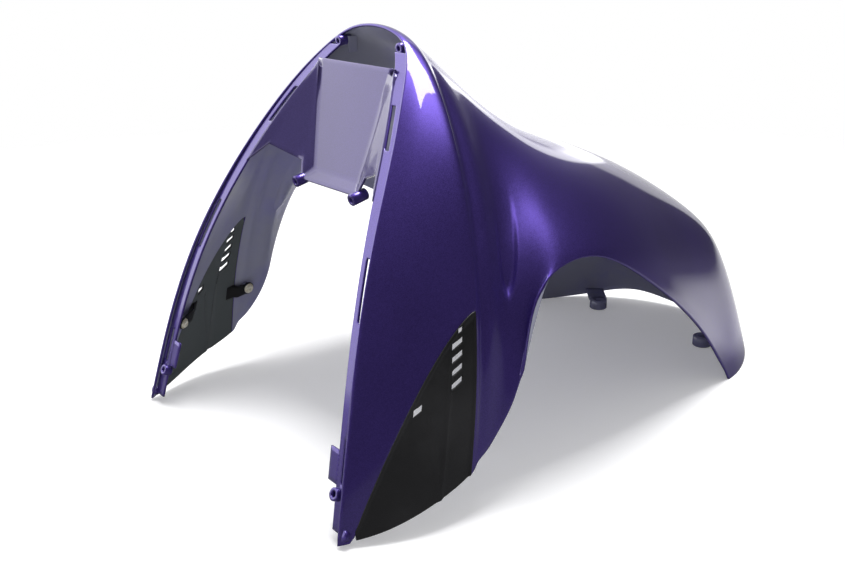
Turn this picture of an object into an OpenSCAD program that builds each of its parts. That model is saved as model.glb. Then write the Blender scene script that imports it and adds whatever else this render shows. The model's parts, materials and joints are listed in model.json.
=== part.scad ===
// Scooter front fairing: leg shield with fixed front mudguard in one moulding,
// a vent insert in each wing, and the screws and washers that hold the inserts.
// Nose points to +X, the left wing to +Y, Z is up, the floor is Z = 0.

/* [Overall form] */
// length from the wing tips to the front of the nose
overall_length = 725; // [600:5:850]
// width over the widest part of the flanks
overall_width = 450; // [380:5:540]
// height of the crown above the floor
overall_height = 421; // [340:5:500]

/* [Walls] */
// thickness of the painted shell
wall = 3; // [2:0.5:5]
// width of the strip that runs inside the rear edge
flange_width = 19; // [12:1:28]
// thickness of that strip and of the pocket walls
web = 2.5; // [2:0.5:4]

/* [Clip slots in the strip] */
// width of each slot
slot_width = 7; // [4:0.5:9]

/* [Vent inserts] */
// thickness of an insert
insert_wall = 2.5; // [2:0.5:4]
// play between an insert and the edge of its opening
insert_gap = 1; // [0.6:0.1:2]
// height of the raised rim and of the ribs
insert_lip = 2; // [1:0.5:4]

/* [Screws of the inserts] */
// shank diameter
screw_diameter = 4.8; // [3.5:0.1:6]
// head diameter
screw_head = 8.6; // [7:0.2:11]
// washer diameter
washer_diameter = 12; // [10:0.5:15]
// washer thickness
washer_thickness = 1; // [0.8:0.1:2]
// diameter of the bosses the screws bite into
screw_boss = 11; // [9:0.5:14]
// height of those bosses above the shell
screw_boss_height = 5; // [4:0.5:8]

/* [Mounting eyes and bosses] */
// outer diameter of the eyes on the lower strips
eye_diameter = 12; // [10:0.5:16]
// bore of the eyes
eye_bore = 5.5; // [4:0.1:7]
// outer diameter of the bosses on the pocket ledge
ledge_boss = 12; // [10:0.5:16]
// bore of the ledge bosses
ledge_bore = 5; // [4:0.1:6]
// outer diameter of the bosses in the nose
nose_boss = 24; // [18:1:32]
// bore of the nose bosses
nose_bore = 8; // [5:0.5:12]
// distance of the nose bosses from the nose wall
nose_reach = 48; // [36:1:60]

/* [Hidden] */
$fn = 28;
half_width = overall_width/2;
middle = overall_length*0.499;

// The form is a net of guide points for the right half, in thousandths of length,
// half width and height, drawn a little large because the smooth face runs inside its net.
// Rows run from the rear edge to the front of the nose, points from the centre line down.
rear_edge = [[248,0,1002],[248,151,993],[243,284,960],[207,400,881],[163,516,762],
  [113,613,618],[66,711,444],[29,791,238],[-1,853,10]];
leaf_1 = [[251,0,1002],[251,151,993],[247,298,960],[218,449,876],[179,591,760],
  [138,711,613],[105,813,451],[75,898,258],[46,934,23]];
leaf_2 = [[255,0,1002],[255,164,990],[251,311,955],[230,484,867],[201,658,753],
  [174,787,603],[150,884,456],[127,970,280],[106,998,64]];
ridge_1 = [[261,0,1000],[261,169,986],[257,324,950],[246,520,857],[221,716,748],
  [206,849,596],[194,933,468],[181,999,294],[173,999,106]];
groove = [[270,0,990],[270,169,976],[266,316,933],[252,462,848],[233,658,734],
  [215,808,593],[201,894,465],[187,962,291],[173,998,134]];
ridge_2 = [[284,0,971],[284,169,960],[279,311,919],[273,467,850],[253,678,737],
  [230,843,599],[211,934,465],[201,980,287],[192,999,149]];
valley = [[324,0,922],[323,142,912],[314,276,884],[306,418,817],[292,599,715],
  [263,784,594],[237,909,464],[225,956,300],[212,992,188]];
shoulder = [[370,0,855],[367,133,848],[359,276,822],[345,436,777],[323,622,697],
  [292,796,604],[261,936,501],[248,980,358],[242,999,258]];
hollow = [[414,0,793],[408,151,789],[400,293,777],[381,462,743],[353,650,687],
  [317,819,615],[289,937,526],[275,989,431],[254,992,393]];
arch_rear = [[462,0,741],[455,169,739],[444,320,732],[419,498,710],[386,683,666],
  [348,843,613],[318,938,571],[293,970,540],[274,978,507]];
arch_top = [[572,0,679],[559,187,679],[538,356,672],[505,542,651],[466,720,618],
  [430,853,580],[403,933,556],[385,973,551],[364,991,551]];
fender_1 = [[690,0,608],[673,187,608],[646,364,599],[607,542,570],[563,711,532],
  [524,836,499],[497,907,475],[477,947,458],[468,960,454]];
fender_2 = [[814,0,504],[794,178,506],[761,347,494],[717,507,466],[673,649,423],
  [632,764,380],[604,831,352],[594,867,340],[585,889,328]];
fender_3 = [[897,0,394],[883,160,418],[852,311,418],[814,462,385],[775,587,323],
  [742,684,266],[717,747,233],[703,787,214],[691,822,190]];
nose_lip = [[952,0,299],[946,151,328],[919,302,337],[883,436,304],[850,542,247],
  [822,631,181],[794,702,133],[770,756,100],[748,800,76]];
nose_wall = [[993,0,181],[985,178,181],[957,347,171],[921,480,147],[888,587,109],
  [855,667,81],[825,729,57],[797,764,43],[772,791,33]];
nose_edge = [[999,0,10],[992,178,24],[967,373,48],[931,524,29],[897,631,10],
  [861,702,5],[828,751,0],[803,778,0],[783,791,0]];
rows = [rear_edge, leaf_1, leaf_2, ridge_1, groove, ridge_2, valley, shoulder, hollow,
  arch_rear, arch_top, fender_1, fender_2, fender_3, nose_lip, nose_wall, nose_edge];

// guide points in millimetres, with one more row and point past every border
swell = [1.00234, 1.00134, 1.001]/1000;
function place(p) = [p[0]*overall_length*swell[0] - middle, -p[1]*half_width*swell[1], p[2]*overall_height*swell[2]];
function past(r) = concat([[r[1][0], -r[1][1], r[1][2]]], r, [2*r[8] - r[7]]);
inner_net = [for (r = rows) past([for (p = r) place(p)])];
net = concat([2*inner_net[0] - inner_net[1]], inner_net, [2*inner_net[16] - inner_net[15]]);

// smooth blend of four neighbours
function blend(f) = [pow(1-f,3), 3*pow(f,3) - 6*f*f + 4, -3*pow(f,3) + 3*f*f + 3*f + 1, pow(f,3)]/6;
function along(r, k, w) = r[k]*w[0] + r[k+1]*w[1] + r[k+2]*w[2] + r[k+3]*w[3];
// point of the outer face: u counts rows from the rear edge, v points from the centre line
function face(u, v) = let (i = min(floor(u), 15), j = min(floor(v), 7), a = blend(u-i), b = blend(v-j))
  along(net[i], j, b)*a[0] + along(net[i+1], j, b)*a[1] + along(net[i+2], j, b)*a[2] + along(net[i+3], j, b)*a[3];
function unit(p) = p/norm(p);
function outward(u, v) = let (e = 0.02, a = max(0, u-e), b = min(16, u+e), c = max(0, v-e), d = min(8, v+e))
  unit(cross(face(u, d) - face(u, c), face(b, v) - face(a, v)));
function floored(p) = [p[0], p[1], max(0, p[2])];
function level(u, v, depth) = floored(face(u, v) - depth*outward(u, v));

// lower border of the leaf: it climbs from the wing tip to ridge 1 round the insert
insert_top = 6.02;
insert_u = 3.15;
function leaf_end(u) = u < 0.3 ? 8 : insert_top + (8 - insert_top)*pow(max(0, 3 - u)/2.7, 1.7);

// joins a closed ring of points at each station into a solid, whichever way the rings turn
module sweep(rings) {
  m = len(rings[0]);
  n = len(rings);
  points = [for (r = rings) each r];
  centre = function(r) [for (k = [0:2]) [for (p = r) p[k]]*[for (p = r) 1]]/m;
  turn = cross(rings[0][1] - rings[0][0], rings[0][2] - rings[0][1])*(centre(rings[1]) - centre(rings[0]));
  sides = [for (i = [0:n-2], k = [0:m-1]) let (a = i*m + k, b = i*m + (k+1)%m)
    each [[a, b, b+m], [a, b+m, a+m]]];
  all = concat(sides, [[for (k = [0:m-1]) m-1-k]], [[for (k = [0:m-1]) (n-1)*m + k]]);
  polyhedron(points = points, faces = turn > 0 ? [for (f = all) [for (k = [len(f)-1:-1:0]) f[k]]] : all);
}
// strip of even thickness between two lines of points
module ribbon(a, b, t) {
  n = len(a) - 1;
  sweep([for (i = [0:n]) let (d = unit(cross(a[min(n,i+1)] - a[max(0,i-1)], b[i] - a[i]))*t/2)
    [a[i] - d, b[i] - d, b[i] + d, a[i] + d]]);
}
// panel of even thickness from a grid of points on its face to the grid behind
module slab(a, b) {
  n = len(a);
  m = len(a[0]);
  rim = concat([for (j = [0:m-1]) j], [for (i = [1:n-1]) i*m + m-1], [for (j = [m-2:-1:0]) (n-1)*m + j],
    [for (i = [n-2:-1:1]) i*m]);
  cells = [for (i = [0:n-2], j = [0:m-2]) each [[i*m+j, (i+1)*m+j+1, i*m+j+1], [i*m+j, (i+1)*m+j, (i+1)*m+j+1]]];
  walls = [for (k = [0:len(rim)-1]) let (p = rim[k], q = rim[(k+1)%len(rim)])
    each [[p, q, n*m+q], [p, n*m+q, n*m+p]]];
  polyhedron(points = concat([for (r = a) each r], [for (r = b) each r]),
    faces = concat(cells, [for (f = cells) [n*m+f[0], n*m+f[2], n*m+f[1]]], walls));
}
// turns the Z axis to a direction at a point
module stand(at, dir) {
  translate(at) rotate([0, acos(dir[2]/norm(dir)), atan2(dir[1], dir[0])]) children();
}
module both_sides() {
  children();
  mirror([0, 1, 0]) children();
}

// columns of the shell mesh and its rows
columns = [0, 0.3, 0.6, 1, 1.4, 1.8, 2.2, 2.6, insert_u, 3.5, 4, 4.5, 5, 5.5, 6, 6.5, 7, 7.75, 8.5, 9.25,
  10, 10.75, 11.5, 12.25, 13, 13.5, 14, 14.5, 15, 15.5, 16];
last = len(columns) - 1;
step_column = 8;
upper = 12;
lower = 5;
function reach(i) = i < step_column ? upper : upper + lower;
function row_v(i, j) = i < step_column ? leaf_end(columns[i])*j/upper
  : j <= upper ? insert_top*j/upper : insert_top + (8 - insert_top)*(j - upper)/lower;
function first(i) = i <= step_column ? i*(2*upper + 1) : step_column*(2*upper + 1) + (i - step_column)*(2*(upper + lower) + 1);
function id(i, j) = first(i) + reach(i) + j;
function mirrored(p, j) = j < 0 ? [p[0], -p[1], p[2]] : p;

module skin() {
  outer = [for (i = [0:last], j = [-reach(i):reach(i)]) mirrored(face(columns[i], row_v(i, abs(j))), j)];
  inner = [for (i = [0:last], j = [-reach(i):reach(i)]) mirrored(level(columns[i], row_v(i, abs(j)), wall), j)];
  n = len(outer);
  shell_cells = [for (i = [0:last-1], j = [-reach(i):reach(i)-1])
    each [[id(i,j), id(i,j+1), id(i+1,j+1)], [id(i,j), id(i+1,j+1), id(i+1,j)]]];
  border = concat(
    [for (j = [-upper:upper]) id(0, j)],
    [for (i = [1:step_column-1]) id(i, upper)],
    [for (j = [upper:upper+lower]) id(step_column, j)],
    [for (i = [step_column+1:last]) id(i, upper+lower)],
    [for (j = [upper+lower-1:-1:-upper-lower]) id(last, j)],
    [for (i = [last-1:-1:step_column]) id(i, -upper-lower)],
    [for (j = [-upper-lower+1:-upper]) id(step_column, j)],
    [for (i = [step_column-1:-1:1]) id(i, -upper)]);
  m = len(border);
  edge = [for (k = [0:m-1]) let (a = border[k], b = border[(k+1)%m]) each [[a, n+b, b], [a, n+a, n+b]]];
  polyhedron(points = concat(outer, inner),
    faces = concat([for (f = shell_cells) [f[2], f[1], f[0]]], [for (f = shell_cells) [n+f[0], n+f[1], n+f[2]]],
      [for (f = edge) [f[2], f[1], f[0]]]));
}

// strip inside the rear edge
function strip_root(v) = level(0.16, v, wall*0.6);
function strip_at(v, inward) = strip_root(v) + [0, inward, 0];
function strip_tip(v) = strip_at(v, flange_width);
forward = unit([0.9, 0, -0.42]);
module strip() {
  steps = [for (k = [0:16]) 2.1 + 5.85*k/16];
  ribbon([for (v = steps) strip_root(v)], [for (v = steps) strip_tip(v)], web);
}
// cutter through the strip from one place to another
module slot(v1, v2, part) {
  side = [0, slot_width/2, 0];
  a = strip_at(v1, flange_width*part);
  b = strip_at(v2, flange_width*part);
  f = forward*8;
  sweep([[a - side - f, a + side - f, a + side + f, a - side + f],
    [b - side - f, b + side - f, b + side + f, b - side + f]]);
}
// eye at the foot of the strip and the plate above it
eye_at = strip_tip(7.62) + [-3, -3, 0];
module eye_plate() {
  ribbon([for (v = [7.25, 7.4, 7.55]) strip_at(v, flange_width - 1)],
    [for (v = [7.25, 7.4, 7.55]) strip_at(v, flange_width + 13)], web);
}
module eye() {
  stand(eye_at, forward) translate([0, 0, -3]) cylinder(d = eye_diameter, h = 9);
}
module eye_hole() {
  stand(eye_at, forward) translate([0, 0, -10]) cylinder(d = eye_bore, h = 26);
}
// rounded tongue at the wing tip
module tongue() {
  tip = level(0.14, 7.93, wall*0.7);
  stand(tip, forward) translate([0, 0, -3.5]) cylinder(d = 11, h = 6);
}

// pocket for the steering tunnel: panel, side walls and ledge
panel_top = place([221, 288, 911]);
panel_foot = place([186, 177, 655]);
ledge_end = place([170, 224, 630]);
function flip(p) = [p[0], -p[1], p[2]];
function between(a, b, f) = a + (b - a)*f;
// lower edge of a side wall: up from the strip to an apex, down to a corner above the ledge
wall_apex = place([158, 430, 704]);
wall_corner = place([179, 251, 673]);
// one sheet: a side wall, the panel with the ledge as its last rows, and the other side wall
pocket_strip = [2.75, 3, 3.4, 3.8, 4.1, 4.3, 4.5, 4.68];
pocket_fold = concat([for (k = [0:6]) between(panel_top, panel_foot, k/6)], [ledge_end]);
function strip_side(k) = strip_at(pocket_strip[k], flange_width - 1);
function wall_point(part, k) = part == 0 ? strip_side(k) : part == 3 ? pocket_fold[k]
  : between(between(strip_side(0), panel_top, part/3), part == 1 ? wall_apex : wall_corner, k/7);
pocket_side = [for (part = [0:3]) [for (k = [0:7]) wall_point(part, k)]];
pocket_grid = concat(pocket_side, [for (part = [3:-1:0]) [for (p = pocket_side[part]) flip(p)]]);
module pocket() {
  slab([for (r = pocket_grid) [for (p = r) p + forward*web]], pocket_grid);
}
ledge_axis = unit([1, 0, 0.25]);
module ledge_bosses() {
  stand(ledge_end, ledge_axis) translate([0, 0, -8]) cylinder(d = ledge_boss, h = 18);
}
// bore, and free room behind the boss
module ledge_holes() {
  stand(ledge_end, ledge_axis) {
    translate([0, 0, -10]) cylinder(d = ledge_bore, h = 30);
    translate([0, 0, -24]) cylinder(d = ledge_boss + 1, h = 16);
  }
}

// small bosses at the corners of the crown, each beside a short web under the roof
crown_corner = level(1.2, 1.6, wall + 4.6);
crown_axis = unit([1, 0, 0.1]);
module crown_boss() {
  stand(crown_corner, crown_axis) translate([0, 0, -8]) cylinder(d = 11, h = 15);
}
// how far the web's lower edge lies below the boss
crown_web_drop = 11.9699;
module crown_web() {
  translate([crown_corner[0] + 1, crown_corner[1] + 4, crown_corner[2] - crown_web_drop]) cube([10, web, 16]);
}
module crown_hole() {
  stand(crown_corner, crown_axis) translate([0, 0, -12]) cylinder(d = 4.2, h = 15);
}

// tab with a hanging boss on the inside of the nose, close to the lower edge
nose_root = level(15.8, 3.5, wall/2);
nose_out = outward(15.8, 3.5);
module nose_place() {
  translate([nose_root[0], nose_root[1], 0]) rotate([0, 0, atan2(nose_out[1], nose_out[0])])
    translate([-nose_reach, 0, 0]) children();
}
module nose_bosses() {
  nose_place() {
    translate([0, 0, 1]) cylinder(d = nose_boss, h = 13);
    translate([0, -nose_boss/2, 10]) cube([nose_reach + 0.3, nose_boss, 4]);
  }
}
module nose_holes() {
  nose_place() translate([0, 0, -4]) cylinder(d = nose_bore, h = 24);
}

// where the screws of an insert sit: place on the shell, counted as u and v
screw_places = [[0.55, 7.15], [4.55, 7.33]];
boss_top = wall + screw_boss_height;
module on_inside(place, depth) {
  stand(level(place[0], place[1], depth), -outward(place[0], place[1])) children();
}
module screw_bosses() {
  for (p = screw_places) on_inside(p, wall - 1) cylinder(d = screw_boss, h = screw_boss_height + 1);
}
module screw_holes() {
  for (p = screw_places) on_inside(p, boss_top) translate([0, 0, -6]) cylinder(d = screw_diameter, h = 10);
}

// skin, strips and pocket, brought to the named overall sizes
module moulding() {
  resize([overall_length, overall_width, overall_height]) difference() {
    union() {
      skin();
      pocket();
      both_sides() {
        strip();
        eye_plate();
      }
    }
    both_sides() {
      slot(3.28, 4.0, 0.75);
      slot(5.33, 6.03, 0.5);
      slot(7.12, 7.53, 0.5);
    }
  }
}
module main_shell() {
  color([0.17, 0.09, 0.36])
  difference() {
    union() {
      moulding();
      both_sides() {
        eye();
        tongue();
        ledge_bosses();
        crown_boss();
        crown_web();
        screw_bosses();
        nose_bosses();
      }
    }
    both_sides() {
      eye_hole();
      ledge_holes();
      crown_hole();
      screw_holes();
      nose_holes();
    }
  }
}

insert_columns = [0.38, 0.55, 0.75, 1, 1.3, 1.6, 1.9, 2.2, 2.5, 2.8, insert_u - insert_gap/25];
insert_rows = 7;
recess = 0.8;
function edge_v(u) = min(7.97, leaf_end(u) + insert_gap/70);
function insert_v(u, k) = edge_v(u) + (8 - edge_v(u))*k;
function insert_at(u, k, depth) = level(u, insert_v(u, k), depth);
module insert_line(path, width, low, high) {
  ribbon([for (p = path) level(p[0] - width/2, p[1], (low + high)/2)],
    [for (p = path) level(p[0] + width/2, p[1], (low + high)/2)], low - high);
}
// cutter for one slit, rising towards the front
module slit(v, u1, u2) {
  h = 0.03;
  rise = 0.22;
  ring = function(u, w) [level(u, w - h, -6), level(u, w + h, -6), level(u, w + h, 12), level(u, w - h, 12)];
  sweep([ring(u1, v + rise*(u2 - u1)/2), ring(u2, v - rise*(u2 - u1)/2)]);
}
module insert_body() {
  slab([for (u = insert_columns) [for (k = [0:insert_rows]) insert_at(u, k/insert_rows, recess)]],
    [for (u = insert_columns) [for (k = [0:insert_rows]) insert_at(u, k/insert_rows, recess + insert_wall)]]);
  // raised rim along the leaf and along the ridge
  curve = [0.75, 1, 1.3, 1.6, 1.9, 2.2, 2.45, 2.7, 2.9, 3.08];
  ribbon([for (u = curve) level(u, edge_v(u), recess + 0.8 - insert_lip/2)],
    [for (u = curve) level(u, edge_v(u) + 0.1, recess + 0.8 - insert_lip/2)], insert_lip);
  insert_line([for (v = [6.1:0.19:8.01]) [3.0, v]], 0.2, recess + 0.8, recess + 0.8 - insert_lip);
  // wedge between the two ribs
  ribbon([for (p = [[1.74,6.62],[1.8,7.05],[1.95,7.45],[2.1,7.75],[2.17,7.97]]) level(p[0], p[1], recess)],
    [for (p = [[2.2,6.58],[2.21,7.05],[2.2,7.45],[2.2,7.75],[2.2,7.97]]) level(p[0], p[1], recess)], insert_lip);
}
// tab from the insert to a screw, stepping behind the shell
module tab(path, half) {
  ribbon([for (p = path) level(p[0], p[1] - half, p[2])], [for (p = path) level(p[0], p[1] + half, p[2])], insert_wall);
}
seat = boss_top + insert_wall/2;
module insert_tabs() {
  tab([[1.4, 7.15, 2.4], [1.2, 7.15, 4.8], [1.05, 7.15, seat], [0.6, 7.15, seat]], 0.07);
  tab([[2.7, 7.3, 2.4], [3.0, 7.3, 5.4], [3.3, 7.32, seat], [4.4, 7.33, seat]], 0.09);
  for (p = screw_places) on_inside(p, boss_top) cylinder(d = washer_diameter + 3, h = insert_wall);
  // plate behind the upper end of the opening
  slab([for (u = [2.0, 2.4, 2.8, 3.2]) [for (q = [[5.65, 4.6], [6.1, 4.6], [6.3, 2.2]]) level(u, q[0], q[1])]],
    [for (u = [2.0, 2.4, 2.8, 3.2]) [for (q = [[5.65, 7.1], [6.1, 7.1], [6.3, 4.7]]) level(u, q[0], q[1])]]);
  // hooks near the lower edge
  for (q = [[1.2, 7.8, 5], [0.98, 7.87, 4], [2.3, 7.7, 8]]) stand(level(q[0], q[1], 2), -outward(q[0], q[1]))
    translate([-q[2]/2, -q[2]/2, 0]) cube([q[2], q[2], q[2] + 2]);
}
module vent_insert() {
  color([0.07, 0.07, 0.075])
  difference() {
    union() {
      insert_body();
      insert_tabs();
    }
    for (k = [0:4]) slit(6.2 + 0.15*k, k == 0 ? 2.42 : 2.26, 2.58);
    slit(6.95, 1.4, 1.6);
    for (p = screw_places) on_inside(p, boss_top) translate([0, 0, -1])
      cylinder(d = screw_diameter + 0.6, h = insert_wall + 2);
  }
}
module right_vent_insert() {
  vent_insert();
}
module left_vent_insert() {
  mirror([0, 1, 0]) vent_insert();
}

module screw() {
  head_height = screw_head*0.3;
  difference() {
    union() {
      cylinder(d = screw_head, h = head_height*0.6);
      translate([0, 0, head_height*0.6]) cylinder(d1 = screw_head, d2 = screw_head*0.7, h = head_height*0.4);
      translate([0, 0, -washer_thickness - insert_wall - 5.5]) cylinder(d = screw_diameter, h = washer_thickness + insert_wall + 6);
    }
    for (a = [0, 90]) rotate([0, 0, a]) translate([-screw_head*0.26, -0.5, head_height*0.45])
      cube([screw_head*0.52, 1, head_height]);
  }
}
module insert_screws() {
  color([0.75, 0.62, 0.3])
  both_sides() for (p = screw_places) on_inside(p, boss_top + insert_wall + washer_thickness) screw();
}
module insert_washers() {
  color([0.72, 0.66, 0.45])
  both_sides() for (p = screw_places) on_inside(p, boss_top + insert_wall) difference() {
    cylinder(d = washer_diameter, h = washer_thickness);
    translate([0, 0, -1]) cylinder(d = screw_diameter + 0.6, h = washer_thickness + 2);
  }
}

main_shell();
right_vent_insert();
left_vent_insert();
insert_screws();
insert_washers();
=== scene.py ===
import json
import math

import bmesh
import bpy
import numpy as np
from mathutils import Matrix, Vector, geometry

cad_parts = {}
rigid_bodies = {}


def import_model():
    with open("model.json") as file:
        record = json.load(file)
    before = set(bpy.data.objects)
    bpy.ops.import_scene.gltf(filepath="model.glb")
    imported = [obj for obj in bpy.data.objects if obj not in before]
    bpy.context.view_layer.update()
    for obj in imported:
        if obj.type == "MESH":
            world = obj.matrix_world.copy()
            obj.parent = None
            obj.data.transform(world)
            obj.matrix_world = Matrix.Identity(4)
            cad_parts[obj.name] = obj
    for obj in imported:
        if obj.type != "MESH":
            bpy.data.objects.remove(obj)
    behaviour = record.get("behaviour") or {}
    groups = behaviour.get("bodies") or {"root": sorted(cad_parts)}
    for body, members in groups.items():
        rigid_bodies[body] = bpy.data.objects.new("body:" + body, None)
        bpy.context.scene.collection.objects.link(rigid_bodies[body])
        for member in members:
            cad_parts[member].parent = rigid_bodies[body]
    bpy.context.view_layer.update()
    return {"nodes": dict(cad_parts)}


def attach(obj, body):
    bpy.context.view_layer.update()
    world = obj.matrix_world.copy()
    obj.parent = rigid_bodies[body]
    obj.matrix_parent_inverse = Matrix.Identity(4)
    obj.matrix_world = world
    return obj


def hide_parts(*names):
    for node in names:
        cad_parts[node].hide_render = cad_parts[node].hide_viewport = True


for leftover in list(bpy.data.objects):
    bpy.data.objects.remove(leftover)
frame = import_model()
print("frame loaded:", ", ".join(sorted(frame["nodes"])))

# Form of the shell: the same guide net as the solid model, in thousandths of length, half width and height.
# A place on its face is u, from 0 at the rear edge to 16 at the nose, and v, from 0 in the middle to 8
# at the border.
# The mesh is finer in some stretches: how much, where, and how far to each side.
shellForm = {"length": 0.725, "width": 0.45, "height": 0.421, "wall": 0.003, "rimSteps": 4, "rimSwell": 0.7,
             "columns": 200, "leafShare": 0.28, "rowsUpper": 66, "rowsLower": 24, "rowsEase": 1.4, "weld": 2e-6,
             "finerAlong": ((1.6, 3.6, 1.6), (0.8, 14.5, 1.4), (3.0, 6.4, 0.75)),
             "finerAcross": ((2, 0.93, 0.12),)}
# stretches the net to the ends of the box
netFit = {"length": 1.00234e-3, "start": 0.499, "width": 1.00134e-3, "height": 1.001e-3}
# opening for the insert, between the leaf and the border
openingForm = {"rear": 0.3, "level": 3, "front": 3.15, "top": 6.02, "drop": 1.98, "ease": 1.7}
hollowForm = {"u": 6.38, "halfWidth": 0.62, "v": 4.9, "reach": 1.2, "fade": (4.3, 5.4), "end": (5.2, 5.95),
              "depth": 0.0022, "deeper": 0.0024, "flat": 0.6, "flatter": 0.22, "edge": 1.03}
guideRows = [
    [(248, 0, 1002), (248, 151, 993), (243, 284, 960), (207, 400, 881), (163, 516, 762),
     (113, 613, 618), (66, 711, 444), (29, 791, 238), (-1, 853, 10)],
    [(251, 0, 1002), (251, 151, 993), (247, 298, 960), (218, 449, 876), (179, 591, 760),
     (138, 711, 613), (105, 813, 451), (75, 898, 258), (46, 934, 23)],
    [(255, 0, 1002), (255, 164, 990), (251, 311, 955), (230, 484, 867), (201, 658, 753),
     (174, 787, 603), (150, 884, 456), (127, 970, 280), (106, 998, 64)],
    [(261, 0, 1000), (261, 169, 986), (257, 324, 950), (246, 520, 857), (221, 716, 748),
     (206, 849, 596), (194, 933, 468), (181, 999, 294), (173, 999, 106)],
    [(270, 0, 990), (270, 169, 976), (266, 316, 933), (252, 462, 848), (233, 658, 734),
     (215, 808, 593), (201, 894, 465), (187, 962, 291), (173, 998, 134)],
    [(284, 0, 971), (284, 169, 960), (279, 311, 919), (273, 467, 850), (253, 678, 737),
     (230, 843, 599), (211, 934, 465), (201, 980, 287), (192, 999, 149)],
    [(324, 0, 922), (323, 142, 912), (314, 276, 884), (306, 418, 817), (292, 599, 715),
     (263, 784, 594), (237, 909, 464), (225, 956, 300), (212, 992, 188)],
    [(370, 0, 855), (367, 133, 848), (359, 276, 822), (345, 436, 777), (323, 622, 697),
     (292, 796, 604), (261, 936, 501), (248, 980, 358), (242, 999, 258)],
    [(414, 0, 793), (408, 151, 789), (400, 293, 777), (381, 462, 743), (353, 650, 687),
     (317, 819, 615), (289, 937, 526), (275, 989, 431), (254, 992, 393)],
    [(462, 0, 741), (455, 169, 739), (444, 320, 732), (419, 498, 710), (386, 683, 666),
     (348, 843, 613), (318, 938, 571), (293, 970, 540), (274, 978, 507)],
    [(572, 0, 679), (559, 187, 679), (538, 356, 672), (505, 542, 651), (466, 720, 618),
     (430, 853, 580), (403, 933, 556), (385, 973, 551), (364, 991, 551)],
    [(690, 0, 608), (673, 187, 608), (646, 364, 599), (607, 542, 570), (563, 711, 532),
     (524, 836, 499), (497, 907, 475), (477, 947, 458), (468, 960, 454)],
    [(814, 0, 504), (794, 178, 506), (761, 347, 494), (717, 507, 466), (673, 649, 423),
     (632, 764, 380), (604, 831, 352), (594, 867, 340), (585, 889, 328)],
    [(897, 0, 394), (883, 160, 418), (852, 311, 418), (814, 462, 385), (775, 587, 323),
     (742, 684, 266), (717, 747, 233), (703, 787, 214), (691, 822, 190)],
    [(952, 0, 299), (946, 151, 328), (919, 302, 337), (883, 436, 304), (850, 542, 247),
     (822, 631, 181), (794, 702, 133), (770, 756, 100), (748, 800, 76)],
    [(993, 0, 181), (985, 178, 181), (957, 347, 171), (921, 480, 147), (888, 587, 109),
     (855, 667, 81), (825, 729, 57), (797, 764, 43), (772, 791, 33)],
    [(999, 0, 10), (992, 178, 24), (967, 373, 48), (931, 524, 29), (897, 631, 10),
     (861, 702, 5), (828, 751, 0), (803, 778, 0), (783, 791, 0)],
]


def place(point):
    return (point[0] * shellForm["length"] * netFit["length"] - netFit["start"] * shellForm["length"],
            -point[1] * shellForm["width"] / 2 * netFit["width"],
            point[2] * shellForm["height"] * netFit["height"])


lastU, lastV = len(guideRows) - 1, len(guideRows[0]) - 1
inner = np.array([[place(p) for p in row] for row in guideRows])
inner = np.concatenate([inner[:, 1:2] * [1, -1, 1], inner, 2 * inner[:, -1:] - inner[:, -2:-1]], 1)
net = np.concatenate([2 * inner[:1] - inner[1:2], inner, 2 * inner[-1:] - inner[-2:-1]], 0)


def blend(t):
    return ((1 - t) ** 3 / 6, (3 * t ** 3 - 6 * t * t + 4) / 6,
            (-3 * t ** 3 + 3 * t * t + 3 * t + 1) / 6, t ** 3 / 6)


def face(u, v):  # points of the outer face, for whole arrays of places
    u, v = np.broadcast_arrays(np.asarray(u, float), np.asarray(v, float))
    i = np.clip(np.floor(u).astype(int), 0, lastU - 1)
    j = np.clip(np.floor(v).astype(int), 0, lastV - 1)
    a, b = blend(u - i), blend(v - j)
    return sum(net[i + p, j + q] * (a[p] * b[q])[..., None] for p in range(4) for q in range(4))


def outward(u, v, step=0.02):  # unit normals of the outer face
    u, v = np.broadcast_arrays(np.asarray(u, float), np.asarray(v, float))
    alongU = face(np.minimum(lastU, u + step), v) - face(np.maximum(0, u - step), v)
    alongV = face(u, np.minimum(lastV, v + step)) - face(u, np.maximum(0, v - step))
    n = np.cross(alongV, alongU)
    return n / np.linalg.norm(n, axis=-1, keepdims=True)


def level(u, v, depth):  # points this deep under the outer face, and never under the floor
    p = face(u, v) - np.asarray(depth, float)[..., None] * outward(u, v)
    p[..., 2] = np.maximum(0, p[..., 2])
    return p


def leafEnd(u):  # lower border of the leaf, round the insert
    u = np.asarray(u, float)
    left = np.maximum(0, openingForm["level"] - u) / (openingForm["level"] - openingForm["rear"])
    border = openingForm["top"] + openingForm["drop"] * left ** openingForm["ease"]
    return np.where(u < openingForm["rear"], lastV, border)


def smooth(value, low, high):
    t = np.clip((value - low) / (high - low), 0, 1)
    return t * t * (3 - 2 * t)


def hollow(u, v):  # depth of the finger-shaped hollow between leaf and mudguard
    away = np.hypot((u - hollowForm["u"]) / hollowForm["halfWidth"],
                    np.maximum(0, v - hollowForm["v"]) / hollowForm["reach"])
    end = smooth(v, *hollowForm["end"])
    depth = hollowForm["depth"] + hollowForm["deeper"] * end
    flat = hollowForm["flat"] + hollowForm["flatter"] * end
    return depth * smooth(v, *hollowForm["fade"]) * (1 - smooth(away, flat, hollowForm["edge"]))


def unit(vector):
    vector = np.asarray(vector, float)
    return vector / np.linalg.norm(vector)


def mirrored(points):
    return np.asarray(points) * [1, -1, 1]


# Mesh helpers
sides = ((1, "Right"), (-1, "Left"))
tiny = 1e-12  # keeps a length that is divided by from being 0


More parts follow.
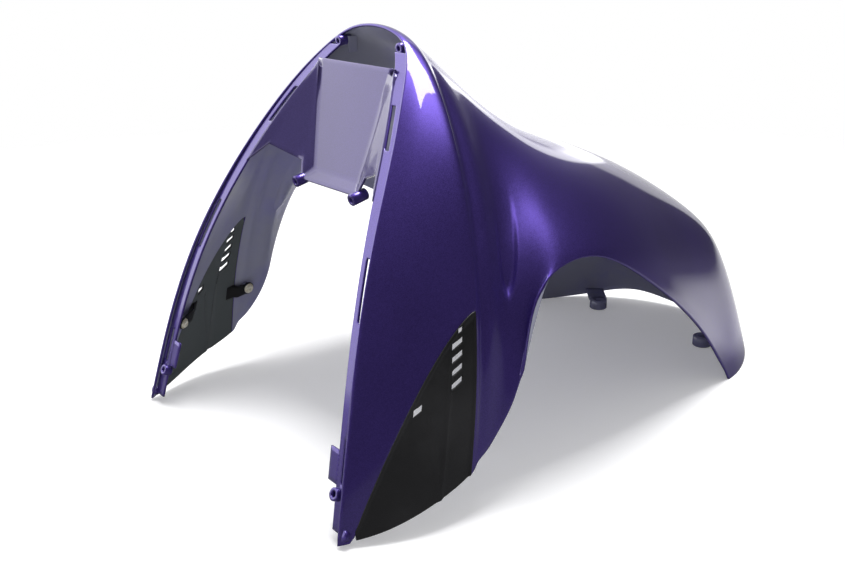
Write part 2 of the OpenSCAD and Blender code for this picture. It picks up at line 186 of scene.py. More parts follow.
def addObject(name, points, faces, finishes, faceSlots=None, smooth=True):
    mesh = bpy.data.meshes.new(name)
    mesh.from_pydata([tuple(p) for p in np.asarray(points).tolist()], [], [tuple(f) for f in faces])
    for finish in finishes:
        mesh.materials.append(finish)
    if faceSlots is not None:
        mesh.polygons.foreach_set("material_index", np.asarray(faceSlots, np.int32))
    mesh.polygons.foreach_set("use_smooth", [smooth] * len(mesh.polygons))
    mesh.validate()
    mesh.update()
    made = bpy.data.objects.new(name, mesh)
    bpy.context.scene.collection.objects.link(made)
    return made


def gridFaces(rows, columns, start=0):
    return [(start + i * columns + j, start + i * columns + j + 1,
             start + (i + 1) * columns + j + 1, start + (i + 1) * columns + j)
            for i in range(rows - 1) for j in range(columns - 1)]


def onlyUsed(points, faces):  # without the points that no face uses
    used = sorted({k for f in faces for k in f})
    lookup = {k: n for n, k in enumerate(used)}
    return points[used], [tuple(lookup[k] for k in f) for f in faces]


def facingOut(points, faces, normal):  # turned round if the first face looks against the normal
    a, b, c = (points[k] for k in faces[0][:3])
    return faces if np.dot(np.cross(b - a, c - a), normal) >= 0 else [tuple(reversed(f)) for f in faces]


def sided(points, faces, side):  # mirrored for the left side
    return (points, faces) if side > 0 else (mirrored(points), [tuple(reversed(f)) for f in faces])


def insideLoop(point, loop):
    hit = False
    for (xa, ya), (xb, yb) in zip(loop, loop[1:] + loop[:1]):
        if (ya > point[1]) != (yb > point[1]) and point[0] < (xb - xa) * (point[1] - ya) / (yb - ya) + xa:
            hit = not hit
    return hit


def weld(points, faces, distance):  # which points stay, and the faces on them
    keys, order = {}, []
    for p in np.round(np.asarray(points) / distance).astype(np.int64).tolist():
        order.append(keys.setdefault(tuple(p), len(keys)))
    firstOf = np.zeros(len(keys), int)
    for k in range(len(order) - 1, -1, -1):
        firstOf[order[k]] = k
    newFaces = []
    for f in faces:
        g = [order[k] for k in f]
        g = [a for n, a in enumerate(g) if a != g[n - 1]]
        if len(g) > 2:
            newFaces.append(tuple(g))
    return firstOf, newFaces


def pointNormals(points, faces):
    normals = np.zeros_like(points)
    for f in faces:
        n = np.cross(points[f[1]] - points[f[0]], points[f[2]] - points[f[0]])
        if len(f) == 4:
            n = n + np.cross(points[f[2]] - points[f[0]], points[f[3]] - points[f[0]])
        for k in f:
            normals[k] += n
    return normals / np.maximum(np.linalg.norm(normals, axis=1, keepdims=True), tiny)


def thicken(name, points, faces, front, back, finishes, rimSteps=3, swell=0.5):
    # front and back are distances along the normals; slots 0, 1 and 2 are front, back and rim
    normals = pointNormals(points, faces)
    total = len(points)
    top = points + normals * front
    bottom = points - normals * back
    for sheet in (top, bottom):
        sheet[:, 2] = np.maximum(sheet[:, 2], 0)
    directed = dict.fromkeys((f[k], f[(k + 1) % len(f)]) for f in faces for k in range(len(f)))
    border = [e for e in directed if (e[1], e[0]) not in directed]
    onBorder = {k for e in border for k in e}
    away = {k: np.zeros(3) for k in onBorder}
    for a, b in border:  # away from the sheet: edge direction turned by the normal
        out = np.cross(points[b] - points[a], normals[a])
        for k in (a, b):
            away[k] += out / max(np.linalg.norm(out), tiny)
    ringStart, rim = {}, []
    for k in sorted(onBorder):
        out = away[k] / max(np.linalg.norm(away[k]), tiny)
        half, mid = (top[k] - bottom[k]) / 2, (top[k] + bottom[k]) / 2
        ringStart[k] = 2 * total + len(rim)
        for s in range(1, rimSteps):
            angle = math.pi * s / rimSteps
            q = mid + half * math.cos(angle) + out * math.sin(angle) * np.linalg.norm(half) * swell
            rim.append([q[0], q[1], max(q[2], 0)])

    def ring(k, s):  # point s of the rim's arc at border point k, from front to back
        return k if s == 0 else k + total if s == rimSteps else ringStart[k] + s - 1

    allFaces = list(faces) + [tuple(k + total for k in reversed(f)) for f in faces]
    slots = [0] * len(faces) + [1] * len(faces)
    for a, b in border:
        for s in range(rimSteps):
            allFaces.append((ring(b, s), ring(a, s), ring(a, s + 1), ring(b, s + 1)))
            slots.append(2)
    return addObject(name, np.concatenate([top, bottom, rim]), allFaces, finishes, slots)


def turned(name, profile, at, axis, finish, steps=40):  # closed profile of radii and heights, round an axis
    axis = unit(axis)
    side = unit(np.cross(axis, [0, 0, 1] if abs(axis[2]) < 0.9 else [1, 0, 0]))
    other = np.cross(axis, side)
    points = [at + (side * math.cos(t) + other * math.sin(t)) * r + axis * h
              for t in (2 * math.pi * s / steps for s in range(steps)) for r, h in profile]
    m = len(profile)
    faces = [(s * m + k, s * m + (k + 1) % m, ((s + 1) % steps) * m + (k + 1) % m, ((s + 1) % steps) * m + k)
             for s in range(steps) for k in range(m)]
    made = addObject(name, points, faces, [finish])
    fixNormals(made)
    return made


def fixNormals(made):
    bm = bmesh.new()
    bm.from_mesh(made.data)
    bmesh.ops.remove_doubles(bm, verts=bm.verts, dist=1e-7)
    bmesh.ops.recalc_face_normals(bm, faces=bm.faces)
    bm.to_mesh(made.data)
    bm.free()


def joined(name, parts):
    bm = bmesh.new()
    finishes = []
    for part in parts:
        offset = len(finishes)
        finishes += list(part.data.materials)
        before = len(bm.faces)
        bm.from_mesh(part.data)
        bm.faces.ensure_lookup_table()
        for f in bm.faces[before:]:
            f.material_index += offset
    mesh = bpy.data.meshes.new(name)
    bm.to_mesh(mesh)
    bm.free()
    for finish in finishes:
        mesh.materials.append(finish)
    for part in parts:
        bpy.data.objects.remove(part)
    made = bpy.data.objects.new(name, mesh)
    bpy.context.scene.collection.objects.link(made)
    return made


# Finishes
class Wire:  # an output socket that can be calculated with
    def __init__(self, tree, out=None):
        self.tree, self.out = tree, out

    def node(self, kind, settings=None, inputs=None, take=0):
        made = self.tree.nodes.new(kind)
        for key, value in (settings or {}).items():
            setattr(made, key, value)
        for key, value in (inputs or {}).items():
            if isinstance(value, Wire):
                self.tree.links.new(value.out, made.inputs[key])
            else:
                made.inputs[key].default_value = value
        return Wire(self.tree, made.outputs[take])

    def maths(self, operation, *values):
        return self.node("ShaderNodeMath", {"operation": operation}, dict(enumerate(values)))

    def __add__(self, other):
        return self.maths("ADD", self, other)

    def __sub__(self, other):
        return self.maths("SUBTRACT", self, other)

    def __rsub__(self, other):
        return self.maths("SUBTRACT", other, self)

    def __mul__(self, other):
        return self.maths("MULTIPLY", self, other)

    __radd__, __rmul__ = __add__, __mul__

    def dot(self, first, second):
        return self.node("ShaderNodeVectorMath", {"operation": "DOT_PRODUCT"}, {0: first, 1: second},
                         take="Value")

    def step(self, low, high):  # 0 below low, 1 above high, smooth between
        return self.node("ShaderNodeMapRange", {"interpolation_type": "SMOOTHSTEP"},
                         {"Value": self, "From Min": low, "From Max": high})

    def mix(self, first, second):  # colours, by this value; the colour sockets of a Mix node go by number
        return self.node("ShaderNodeMix", {"data_type": "RGBA"}, {"Factor": self, 6: first, 7: second}, take=2)


def rgb(r, g, b):
    return (r, g, b, 1.0)


def newFinish(name, **fixed):
    material = bpy.data.materials.new(name)
    material.use_nodes = True
    tree = material.node_tree
    shader = tree.nodes["Principled BSDF"]
    for key, value in fixed.items():
        shader.inputs[key.replace("_", " ")].default_value = value
    wire = Wire(tree)
    where = wire.node("ShaderNodeTexCoord", take="Object")

    def feed(socket, value):
        if isinstance(value, Wire):
            tree.links.new(value.out, shader.inputs[socket])
        else:
            shader.inputs[socket].default_value = value
    return material, wire, where, feed


# metallic paint under clear coat, and in the pocket a darker, greyer, less glossy copy of it, whose darker
# colour is painted shade for the recess
paintLook = {"deep": rgb(0.056, 0.033, 0.205), "light": rgb(0.090, 0.054, 0.320), "flakes": 2600,
             "roughness": 0.4, "uneven": 0.12, "metallic": 0.82}
pocketShadedLook = {"deep": rgb(0.052, 0.038, 0.135), "light": rgb(0.075, 0.056, 0.21), "flakes": 2600,
              "roughness": 0.42, "uneven": 0.12, "metallic": 0.6}


def paintFinish(name, look):
    material, wire, where, feed = newFinish(
        name, Metallic=look["metallic"], Coat_Weight=1.0, Coat_Roughness=0.03, Coat_IOR=1.5)
    cloud = wire.node("ShaderNodeTexNoise", {}, {"Vector": where, "Scale": 9.0, "Detail": 3.0})
    flakes = wire.node("ShaderNodeTexVoronoi", {}, {"Vector": where, "Scale": look["flakes"]}, take="Color")
    sparkle = wire.node("ShaderNodeSeparateColor", {}, {"Color": flakes})
    tone = (cloud * 0.5 + sparkle * 0.5).step(0.2, 0.8)
    feed("Base Color", tone.mix(look["deep"], look["light"]))
    feed("Roughness", sparkle * look["uneven"] + (look["roughness"] - look["uneven"] / 2))
    peel = wire.node("ShaderNodeTexNoise", {}, {"Vector": where, "Scale": 420.0, "Detail": 1.0})
    feed("Normal", wire.node("ShaderNodeBump", {}, {"Strength": 0.02, "Distance": 0.0005, "Height": peel}))
    return material


# bare black moulding, coloured light grey as painted reflection of the white studio, with violet overspray; the
# insert's back is darker, though still lighter than its black front, and without overspray
insideLook = {"plasticAndPaintedSheen": rgb(0.26, 0.265, 0.34), "overspray": rgb(0.18, 0.16, 0.44), "amount": 0.5,
              "speckles": 0.12, "roughness": 0.22, "oversprayGloss": 0.08}
insertInsideLook = dict(insideLook, plasticAndPaintedSheen=rgb(0.085, 0.095, 0.097), amount=0.0)


def insideFinish(name, look):
    material, wire, where, feed = newFinish(name)
    cloud = wire.node("ShaderNodeTexNoise", {},
                      {"Vector": where, "Scale": 11.0, "Detail": 5.0, "Roughness": 0.6})
    grain = wire.node("ShaderNodeTexNoise", {}, {"Vector": where, "Scale": 1500.0, "Detail": 2.0})
    drops = wire.node("ShaderNodeTexNoise", {}, {"Vector": where, "Scale": 900.0, "Detail": 2.0})
    speckle = drops.step(0.5, 0.62)
    mist = (cloud.step(0.3, 0.72) * look["amount"] + speckle * look["speckles"] * look["amount"]).step(0, 1)
    # the grey base is painted reflection; the overspray's violet is real
    feed("Base Color", mist.mix(look["plasticAndPaintedSheen"], look["overspray"]))
    feed("Roughness", look["roughness"] - mist * look["oversprayGloss"])
    feed("Normal", wire.node("ShaderNodeBump", {}, {"Strength": 0.06, "Distance": 0.0004, "Height": grain}))
    return material


insertLook = {"colour": rgb(0.007, 0.007, 0.008), "worn": rgb(0.016, 0.016, 0.018), "roughness": 0.37,
              "uneven": 0.15}


def insertFinish():
    material, wire, where, feed = newFinish("insertPlastic")
    grain = wire.node("ShaderNodeTexVoronoi", {}, {"Vector": where, "Scale": 1100.0})
    cloud = wire.node("ShaderNodeTexNoise", {}, {"Vector": where, "Scale": 14.0, "Detail": 4.0})
    feed("Base Color", cloud.step(0.35, 0.75).mix(insertLook["colour"], insertLook["worn"]))
    feed("Roughness", cloud * insertLook["uneven"] + insertLook["roughness"])
    feed("Normal", wire.node("ShaderNodeBump", {}, {"Strength": 0.35, "Distance": 0.0004, "Height": grain}))
    return material


zincLook = {"bright": rgb(0.88, 0.85, 0.74), "dull": rgb(0.60, 0.52, 0.33), "metallic": 0.4, "roughness": 0.28,
            "stainRoughness": 0.25, "screwStain": 0.6, "washerStain": 0.9}


def zincFinish(name, share):
    material, wire, where, feed = newFinish(name, Metallic=zincLook["metallic"])
    cloud = wire.node("ShaderNodeTexNoise", {}, {"Vector": where, "Scale": 260.0, "Detail": 4.0})
    stain = cloud.step(0.35, 0.7)
    feed("Base Color", (stain * share).mix(zincLook["bright"], zincLook["dull"]))
    feed("Roughness", stain * zincLook["stainRoughness"] + zincLook["roughness"])
    feed("Normal", wire.node("ShaderNodeBump", {}, {"Strength": 0.15, "Distance": 0.0003, "Height": cloud}))
    return material


paint = paintFinish("shellPaint", paintLook)
# the pocket's copy of the paint is darker: painted shade
pocketShadedPaint = paintFinish("pocketShadedPaint", pocketShadedLook)
inside = insideFinish("shellInside", insideLook)
insertPlastic = insertFinish()
insertInside = insideFinish("insertInside", insertInsideLook)
screwZinc = zincFinish("screwZinc", zincLook["screwStain"])
washerZinc = zincFinish("washerZinc", zincLook["washerStain"])
print("finishes made")


# Shell
def spread(line, start, end, count, finer):  # places along a line, closer together where it has to be finer
    close = np.ones_like(line)
    for much, at, reach in finer:
        close = close + much * np.exp(-((line - at) / reach) ** 2)
    total = np.cumsum(close)
    return np.interp(np.linspace(*np.interp([start, end], line, total), count), total, line)


def shellGrid():
    along = np.linspace(0, lastU, 4001)
    front, finer = openingForm["front"], shellForm["finerAlong"]
    leafColumns = int(shellForm["columns"] * shellForm["leafShare"])
    uLeaf = spread(along, 0, front, leafColumns, finer)
    uRest = spread(along, front, lastU, shellForm["columns"] - leafColumns, finer)
    half = spread(np.linspace(0, 1, 1001), 0, 1, shellForm["rowsUpper"] + 1, shellForm["finerAcross"])
    upper = np.concatenate([-half[::-1], half[1:]])
    down = np.linspace(0, 1, shellForm["rowsLower"] + 1) ** shellForm["rowsEase"]
    lower = openingForm["top"] + openingForm["drop"] * down
    points, normals, faces = [], [], []

    def patch(u, v):
        start = sum(len(p) for p in points)
        n = outward(u, np.abs(v))
        p = face(u, np.abs(v)) - n * hollow(u, np.abs(v))[..., None]
        flip = np.where((v < 0)[..., None], [1, -1, 1], [1, 1, 1])
        points.append((p * flip).reshape(-1, 3))
        normals.append((n * flip).reshape(-1, 3))
        faces.extend(gridFaces(u.shape[0], u.shape[1], start))

    u, s = np.meshgrid(uLeaf, upper, indexing="ij")
    patch(u, s * leafEnd(u))
    u, s = np.meshgrid(uRest, upper, indexing="ij")
    patch(u, s * openingForm["top"])
    for rows in (lower, -lower[::-1]):
        patch(*np.meshgrid(uRest, rows, indexing="ij"))
    points, normals = np.concatenate(points), np.concatenate(normals)
    keep, faces = weld(points, faces, shellForm["weld"])
    return points[keep], facingOut(points[keep], faces, normals[keep[faces[0][0]]])


points, faces = shellGrid()
shell = thicken("shellSkin", points, faces, 0.0, shellForm["wall"], [paint, inside, paint],
                shellForm["rimSteps"], shellForm["rimSwell"])
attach(shell, "root")
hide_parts("main_shell")
print("shell:", len(shell.data.polygons), "faces")


def finishPiece(made):  # a smaller piece of the same moulding
    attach(made, "root")


# Strips inside the rear edge with their plates and eyes, and the tongues at the wing tips.
# Each slot has its two ends along the strip and its share of the strip's width.
stripForm = {"u": 0.16, "rootDepth": 0.6, "from": 2.1, "to": 7.95, "width": 0.019, "web": 0.0025,
             "slots": ((3.28, 4.0, 0.75), (5.33, 6.03, 0.5), (7.12, 7.53, 0.5)), "slotWidth": 0.007,
             "fineness": 26, "rimSwell": 0.6}
plateForm = {"from": 7.25, "to": 7.55, "inner": 0.018, "outer": 0.032}
eyeForm = {"v": 7.62, "shift": (-0.003, -0.003, 0), "diameter": 0.012, "bore": 0.0055, "low": -0.003,
           "high": 0.006}
tongueForm = {"u": 0.14, "v": 7.93, "depth": 0.7, "radius": 0.0055, "low": -0.0035, "high": 0.0025}
forward = unit([0.9, 0, -0.42])  # axis of eyes and tongues


def stripAt(v, inward):  # place on the strip, this far in from the shell
    v = np.asarray(v, float)
    root = level(stripForm["u"], v, shellForm["wall"] * stripForm["rootDepth"])
    return root + np.multiply.outer(np.broadcast_to(inward, np.shape(v)), [0, 1, 0])


def stripGrid():
    width, half = stripForm["width"], stripForm["slotWidth"] / 2
    ends = sorted({stripForm["from"], stripForm["to"]} | {v for slot in stripForm["slots"] for v in slot[:2]})
    along = np.unique(np.concatenate([np.linspace(p, q, max(3, int((q - p) * stripForm["fineness"])))
                                      for p, q in zip(ends, ends[1:])]).round(6))
    edges = sorted({0.0, width} | {round(width * slot[2] + k * half, 6)
                                   for slot in stripForm["slots"] for k in (-1, 1)})
    across = np.unique(np.concatenate([np.linspace(p, q, 4) for p, q in zip(edges, edges[1:])]).round(7))
    points = np.stack([stripAt(along, inward) for inward in across], 1).reshape(-1, 3)

    def inSlot(quad):
        i, j = divmod(quad[0], len(across))
        midV, midIn = (along[i] + along[i + 1]) / 2, (across[j] + across[j + 1]) / 2
        return any(s[0] < midV < s[1] and abs(midIn - width * s[2]) < half for s in stripForm["slots"])

    return onlyUsed(points, [quad for quad in gridFaces(len(along), len(across)) if not inSlot(quad)])


def plateGrid():
    v = np.linspace(plateForm["from"], plateForm["to"], 8)
    across = np.linspace(plateForm["inner"], plateForm["outer"], 5)
    points = np.stack([stripAt(v, inward) for inward in across], 1)
    return points.reshape(-1, 3), gridFaces(len(v), len(across))


def stripSheet(name, points, quads, side):
    points, quads = sided(points, quads, side)
    half = stripForm["web"] / 2
    return thicken(name, points, quads, half, half, [paint] * 3, swell=stripForm["rimSwell"])


# Profiles of bosses and pins: radii, lowest and highest end, and how far the edges are rounded
def tubeProfile(outer, bore, low, high, soft=0.0006):
    return [(bore, low + soft), (bore + soft, low), (outer - soft, low), (outer, low + soft),
            (outer, high - soft), (outer - soft, high), (bore + soft, high), (bore, high - soft)]


def blindProfile(outer, bore, low, high, boreEnd, soft=0.0006):
    return [(bore, boreEnd), (bore, low + soft), (bore + soft, low), (outer - soft, low), (outer, low + soft),
            (outer, high - soft), (outer - soft, high), (0, high), (0, boreEnd)]


def pinProfile(outer, low, high, soft=0.0006):
    return [(0, low), (outer - soft, low), (outer, low + soft),
            (outer, high - soft), (outer - soft, high), (0, high)]


def tipTongue(side):
    at = level(tongueForm["u"], tongueForm["v"], shellForm["wall"] * tongueForm["depth"])
    profile = pinProfile(tongueForm["radius"], tongueForm["low"], tongueForm["high"])
    return turned("tipTongue", profile, at * [1, side, 1], forward, paint)


def footEye(side):
    at = stripAt(eyeForm["v"], stripForm["width"]) + eyeForm["shift"]
    profile = tubeProfile(eyeForm["diameter"] / 2, eyeForm["bore"] / 2, eyeForm["low"], eyeForm["high"])
    return turned("footEye", profile, at * [1, side, 1], forward, paint)


for side, word in sides:
    finishPiece(joined("wingStrip" + word, [
        stripSheet("rearStrip", *stripGrid(), side), stripSheet("footPlate", *plateGrid(), side),
        footEye(side), tipTongue(side)]))
print("strips made")

# Pocket of the steering tunnel: its corners in thousandths as in the guide net, and where it meets the strip
pocketForm = {"web": 0.0025, "top": (221, 288, 911), "foot": (186, 177, 655), "ledge": (170, 224, 630),
              "apex": (158, 430, 704), "corner": (179, 251, 673), "stripOverlap": 0.001,
              "strip": (2.75, 3, 3.4, 3.8, 4.1, 4.3, 4.5, 4.68), "alongSteps": 4,
              "acrossSteps": (5, 6, 5, 14, 5, 6, 5)}
panelTop, panelFoot, ledgeEnd, wallApex, wallCorner = (
    np.array(place(pocketForm[k])) for k in ("top", "foot", "ledge", "apex", "corner"))


def makePocket():
    count = len(pocketForm["strip"])
    rows = [stripAt(np.array(pocketForm["strip"]), stripForm["width"] - pocketForm["stripOverlap"])]
    for part, end in ((1, wallApex), (2, wallCorner)):
        start = rows[0][0] + (panelTop - rows[0][0]) * part / 3
        rows.append(start + (end - start) * np.linspace(0, 1, count)[:, None])
    down = np.arange(count - 1)[:, None] / (count - 2)
    rows.append(np.concatenate([panelTop + (panelFoot - panelTop) * down, [ledgeEnd]]))
    rows += [mirrored(row) for row in reversed(rows)]
    fine = [rows[r] + (rows[r + 1] - rows[r]) * k / n
            for r, n in enumerate(pocketForm["acrossSteps"]) for k in range(n)]
    grid = np.array(fine + [rows[-1]])
    along = np.linspace(0, count - 1, (count - 1) * pocketForm["alongSteps"] + 1)
    low = np.minimum(along.astype(int), count - 2)
    grid = grid[:, low] + (grid[:, low + 1] - grid[:, low]) * (along - low)[None, :, None]
    return thicken("steeringPocket", grid.reshape(-1, 3), gridFaces(*grid.shape[:2]), 0.0, pocketForm["web"],
                   [pocketShadedPaint] * 3)


finishPiece(makePocket())

# Bosses at the ends of the ledge, beside the crown and for the inserts' screws
ledgeBossForm = {"diameter": 0.012, "bore": 0.005, "low": -0.008, "high": 0.010, "axis": (1, 0, 0.25)}
crownBossForm = {"u": 1.2, "v": 1.6, "depth": 0.0046, "radius": 0.0055, "bore": 0.0021, "low": -0.008,
                 "high": 0.007, "boreEnd": 0.003, "axis": (1, 0, 0.1)}
crownWebForm = {"start": (0.001, 0.004), "low": 0.390, "size": (0.010, 0.0025, 0.016)}
screwBossForm = {"places": ((0.55, 7.15), (4.55, 7.33)), "radius": 0.0055, "bore": 0.0024, "length": 0.006,
                 "depth": 0.005}
crownCorner = level(crownBossForm["u"], crownBossForm["v"], shellForm["wall"] + crownBossForm["depth"])
bossTop = shellForm["wall"] + screwBossForm["depth"]


def ledgeBoss(side):
    profile = tubeProfile(ledgeBossForm["diameter"] / 2, ledgeBossForm["bore"] / 2, ledgeBossForm["low"],
                          ledgeBossForm["high"])
    return turned("ledgeBoss", profile, ledgeEnd * [1, side, 1], ledgeBossForm["axis"], paint)


def crownBoss(side):
    profile = blindProfile(crownBossForm["radius"], crownBossForm["bore"], crownBossForm["low"],
                           crownBossForm["high"], crownBossForm["boreEnd"])
    return turned("crownBoss", profile, crownCorner * [1, side, 1], crownBossForm["axis"], paint)


def crownWeb(side):
    low = np.append(crownCorner[:2] + crownWebForm["start"], crownWebForm["low"])
    high = low + crownWebForm["size"]
    points = [(x, y * side, z) for x in (low[0], high[0]) for y in (low[1], high[1]) for z in (low[2], high[2])]
    made = addObject("crownWeb", points, [(0, 1, 3, 2), (4, 6, 7, 5), (0, 4, 5, 1), (2, 3, 7, 6), (0, 2, 6, 4),
                                          (1, 5, 7, 3)], [inside], smooth=False)
    fixNormals(made)
    return made


def screwRing(name, radius, bore, low, high, spot, side, finish):  # round a screw's axis, square to the shell
    return turned(name, tubeProfile(radius, bore, low, high), level(*spot, bossTop) * [1, side, 1],
                  -outward(*spot) * [1, side, 1], finish)


for side, word in sides:
    screwBosses = [
        screwRing("screwBoss", screwBossForm["radius"], screwBossForm["bore"], -screwBossForm["length"], 0.0,
                  spot, side, inside) for spot in screwBossForm["places"]]
    finishPiece(joined("bosses" + word, [ledgeBoss(side), crownBoss(side), *screwBosses, crownWeb(side)]))
print("pocket and bosses made")

# Nose tabs, each with a hanging boss
noseForm = {"u": 15.8, "v": 3.5, "depth": 0.0015, "reach": 0.048, "boss": 0.024, "bore": 0.008, "low": 0.001,
            "high": 0.014, "soft": 0.001, "webStart": 0.5, "webOverlap": 0.0003, "webHeight": 0.012,
            "webHalf": 0.002, "rimSwell": 0.4}


def noseTab(side):
    root, out = level(noseForm["u"], noseForm["v"], noseForm["depth"]), outward(noseForm["u"], noseForm["v"])
    out = unit([out[0], out[1], 0])
    centre = np.array([root[0], root[1], 0]) - out * noseForm["reach"]
    radius = noseForm["boss"] / 2
    profile = tubeProfile(radius, noseForm["bore"] / 2, noseForm["low"], noseForm["high"], noseForm["soft"])
    across = np.cross([0, 0, 1], out) * radius
    start, end = radius * noseForm["webStart"], noseForm["reach"] + noseForm["webOverlap"]
    points = [centre + out * (start + (end - start) * s) + across * w + [0, 0, noseForm["webHeight"]]
              for s in np.linspace(0, 1, 6) for w in np.linspace(-1, 1, 5)]
    points, quads = sided(np.array(points), gridFaces(6, 5), side)
    return [turned("noseBoss", profile, centre * [1, side, 1], (0, 0, 1), inside),
            thicken("noseWeb", points, quads, noseForm["webHalf"], noseForm["webHalf"], [inside] * 3,
                    swell=noseForm["rimSwell"])]


for side, word in sides:
    finishPiece(joined("noseTab" + word, noseTab(side)))
print("nose tabs made")

# Vent inserts. A slit has its place across the insert, then its rear and front end.
insertForm = {"wall": 0.0025, "recess": 0.0008, "rear": 0.38, "front": 3.11, "top": 6.05, "foot": 7.99,
              "lastRow": 7.98, "gap": 0.012, "edgeGap": 0.015, "frontGap": 0.02, "columns": 64, "rows": 84,
              "frontRows": 50, "seatRadius": 0.0075, "seatBore": 0.0027}
slitForm = {"half": 0.04, "rise": 0.22, "first": 6.2, "step": 0.15, "rearEnds": (2.42, 2.26, 2.26, 2.26, 2.26),
            "front": 2.58, "single": (6.95, 1.4, 1.6)}
ridgeForm = {"height": 0.0016, "rimWidth": 0.05, "rimFade": 0.06, "frontShare": 1.4, "ribWidth": 0.045,
             "ribs": (((2.25, 6.62), (2.2, 7.35), (2.2, 8.0)), ((1.8, 7.08), (2.1, 7.75), (2.2, 8.0)))}
seat = bossTop + insertForm["wall"] / 2
# the tabs that reach to the screws: half width, and the places and depths that they run through
tabForm = {"rear": {"half": 0.07, "path": ((1.4, 7.15, 0.0024), (1.2, 7.15, 0.0048), (1.05, 7.15, seat),
                                           (0.6, 7.15, seat))},
           "front": {"half": 0.09, "path": ((2.7, 7.3, 0.0024), (3.0, 7.3, 0.0054), (3.3, 7.32, seat),
                                            (4.4, 7.33, seat))}}


def slitShapes():
    row = [(slitForm["first"] + slitForm["step"] * k, rear, slitForm["front"])
           for k, rear in enumerate(slitForm["rearEnds"])]
    return row + [slitForm["single"]]


def slitOutline(v, rear, front):
    def middle(u):
        return v + slitForm["rise"] * ((rear + front) / 2 - u)

    upper = [(u, middle(u) - slitForm["half"]) for u in np.linspace(rear, front, 6)]
    lower = [(u, middle(u) + slitForm["half"]) for u in np.linspace(front, rear, 6)]
    return upper + lower


def ridgeHeight(u, v):  # raised rim and ribs of the insert
    toEdge = np.minimum(v - leafEnd(u), (insertForm["front"] - u) * ridgeForm["frontShare"])
    height = ridgeForm["height"] * (1 - np.clip((toEdge - ridgeForm["rimWidth"]) / ridgeForm["rimFade"], 0, 1))
    for rib in ridgeForm["ribs"]:
        for (ua, va), (ub, vb) in zip(rib, rib[1:]):
            du, dv = ub - ua, vb - va
            t = np.clip(((u - ua) * du + (v - va) * dv) / (du ** 2 + dv ** 2), 0, 1)
            away = np.hypot(u - ua - t * du, v - va - t * dv)
            height = np.maximum(height, ridgeForm["height"] * np.exp(-(away / ridgeForm["ribWidth"]) ** 2))
    return height


def insertOutline(us):
    outline = [(u, float(leafEnd(u)) + insertForm["gap"]) for u in us]
    outline += [(insertForm["front"], v)
                for v in np.linspace(insertForm["top"], insertForm["foot"], insertForm["frontRows"])]
    outline += [(u, insertForm["foot"]) for u in us[::-1][1:-1]]
    return [(u, min(v, insertForm["foot"])) for u, v in outline]


def insertPlate(side):
    us = np.linspace(insertForm["rear"], insertForm["front"], insertForm["columns"])
    loops = [insertOutline(us)] + [slitOutline(*slit) for slit in slitShapes()]
    flat, edges = [], []
    for loop in loops:
        start = len(flat)
        flat += loop
        edges += [(start + k, start + (k + 1) % len(loop)) for k in range(len(loop))]
    for u in us:
        for v in np.linspace(insertForm["top"], insertForm["lastRow"], insertForm["rows"]):
            below = v > leafEnd(u) + insertForm["gap"] + insertForm["edgeGap"]
            if below and u < insertForm["front"] - insertForm["frontGap"]:
                flat.append((u, v))
    verts, _, triangles, *_ = geometry.delaunay_2d_cdt([Vector(p) for p in flat], edges, [], 0, 1e-5)
    uv = np.array([tuple(p) for p in verts])
    kept = []
    for triangle in triangles:
        middle = uv[list(triangle)].mean(0)
        if insideLoop(middle, loops[0]) and not any(insideLoop(middle, slit) for slit in loops[1:]):
            kept.append(tuple(triangle))
    uv, kept = onlyUsed(uv, kept)
    u, v = uv[:, 0], uv[:, 1]
    n = outward(u, v)
    points = level(u, v, insertForm["recess"]) + n * ridgeHeight(u, v)[:, None]
    points, kept = sided(points, facingOut(points, kept, n[kept[0][0]]), side)
    return thicken("insertPlate", points, kept, 0.0, insertForm["wall"],
                   [insertPlastic, insertInside, insertPlastic])


def insertTab(form, side):
    rows = [[level(u, v + form["half"] * w, depth) for w in np.linspace(-1, 1, 5)]
            for u, v, depth in form["path"]]
    points, quads = sided(np.array(rows).reshape(-1, 3), gridFaces(len(rows), 5), side)
    half = insertForm["wall"] / 2
    return thicken("insertTab", points, quads, half, half, [insertPlastic] * 3)


for side, word in sides:
    tabs = [insertTab(form, side) for form in tabForm.values()]
    seats = [screwRing("seat", insertForm["seatRadius"], insertForm["seatBore"], 0.0, insertForm["wall"],
                       spot, side, insertPlastic) for spot in screwBossForm["places"]]
    insert = joined(word.lower() + "VentInsert", [insertPlate(side), *tabs, *seats])
    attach(insert, "root")
    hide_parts(word.lower() + "_vent_insert")
print("vent inserts made")

# Screws and washers stay as they are in the frame
for name, finish in (("insert_screws", screwZinc), ("insert_washers", washerZinc)):
    node = frame["nodes"][name]
    node.data.materials.clear()
    node.data.materials.append(finish)

# Studio. The floor is darker in reflections, and less so on its far side.
studio = {"floor": rgb(0.9, 0.9, 0.905), "floorHalf": 4, "floorGlow": 0.2, "fadeFrom": 1.0, "fadeTo": 1.9,
          "floorInGloss": rgb(0.16, 0.16, 0.17), "floorFarGloss": rgb(0.62, 0.62, 0.62),
          "farSide": (0.8, 0.6, 0), "farFrom": 0.1, "farTo": 0.3, "worldStrength": 0.62, "roomDark": 0.035}
# What reflections meet: direction, where it starts and is full as a cosine, and strength.
# The window takes back some of its frame's strength.
roomSides = {"windowFrame": ((0.45, 0.82, 0.36), 0.84, 0.85, 2.1),
             "window": ((0.45, 0.82, 0.36), 0.866, 0.88, -1.55),
             "leftWindow": ((-0.45, 0.85, 0.28), 0.72, 0.8, 2.1),
             "rearPanel": ((-0.98, -0.17, 0.05), 0.975, 0.985, 2.5),
             "lowWall": ((0.8, 0.6, -0.1), 0.962, 0.972, 0.7)}
lampForm = {"at": (0.078222, 0.019503, 2.198523), "side": 1.05, "radiance": 16}  # faces straight down


def rayKinds(wire):  # rays from the camera, and those off glossy faces
    rays = wire.node("ShaderNodeLightPath").out.node.outputs
    return Wire(wire.tree, rays["Is Camera Ray"]), Wire(wire.tree, rays["Is Glossy Ray"])


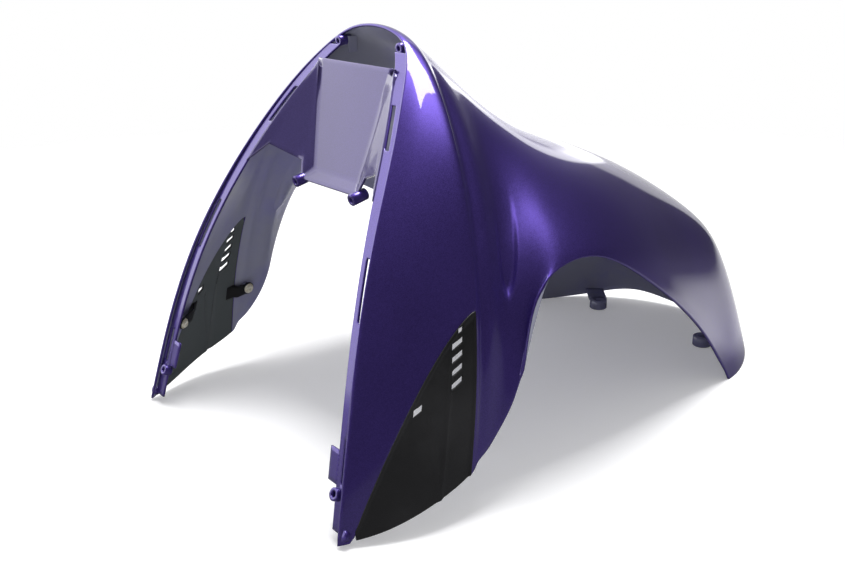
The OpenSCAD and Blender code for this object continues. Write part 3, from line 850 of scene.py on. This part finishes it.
def tableFinish():  # fades into the white backdrop, and is a little brighter to the camera
    material, wire, where, feed = newFinish("tableFinish", Roughness=0.6)
    seen, glossy = rayKinds(wire)
    away = wire.node("ShaderNodeVectorMath", {"operation": "LENGTH"}, {0: where}, take="Value")
    far = wire.dot(where, studio["farSide"])
    inGloss = far.step(studio["farFrom"], studio["farTo"]).mix(studio["floorInGloss"], studio["floorFarGloss"])
    feed("Base Color", glossy.mix(studio["floor"], inGloss))
    feed("Emission Color", seen.mix(rgb(0, 0, 0), rgb(1, 1, 1)))
    feed("Emission Strength", studio["floorGlow"])
    feed("Alpha", 1.0 - away.step(studio["fadeFrom"], studio["fadeTo"]))
    return material


half = studio["floorHalf"]
corners = [(-half, -half, 0), (half, -half, 0), (half, half, 0), (-half, half, 0)]
addObject("tableTop", corners, [(0, 1, 2, 3)], [tableFinish()], smooth=False)

lamp = bpy.data.lights.new("overheadBox", "AREA")
lamp.shape, lamp.size = "SQUARE", lampForm["side"]
lamp.energy = lampForm["radiance"] * lampForm["side"] ** 2 * math.pi
overhead = bpy.data.objects.new("overheadBox", lamp)
overhead.location = lampForm["at"]
bpy.context.scene.collection.objects.link(overhead)

# white to the camera, even light for matt faces, and a dark room with bright sides for reflections
world = bpy.data.worlds.new("studioWorld")
bpy.context.scene.world = world
world.use_nodes = True
wire = Wire(world.node_tree)
seen, glossy = rayKinds(wire)
direction = wire.node("ShaderNodeTexCoord", take="Generated")
room = studio["roomDark"]
for towards, start, full, strength in roomSides.values():
    room = wire.dot(direction, towards).step(start, full) * strength + room
inReflections = wire.node("ShaderNodeCombineXYZ", {}, {0: room, 1: room, 2: room})
plain = glossy.mix(rgb(*[studio["worldStrength"]] * 3), inReflections)
wire.tree.links.new(seen.mix(plain, rgb(1, 1, 1)).out, wire.tree.nodes["Background"].inputs["Color"])
print("studio made")

# Camera
view = {"at": (-0.7733, -0.8347, 0.4963), "pitch": 71.565, "turn": -38.05, "lens": 43.45, "sensor": 36}
camera = bpy.data.objects.new("photoCamera", bpy.data.cameras.new("photoCamera"))
camera.data.lens, camera.data.sensor_width = view["lens"], view["sensor"]
camera.location = view["at"]
camera.rotation_euler = (math.radians(view["pitch"]), 0, math.radians(view["turn"]))
bpy.context.scene.collection.objects.link(camera)
bpy.context.scene.camera = camera
bpy.context.scene.view_settings.view_transform = "Standard"

print("scene ready")
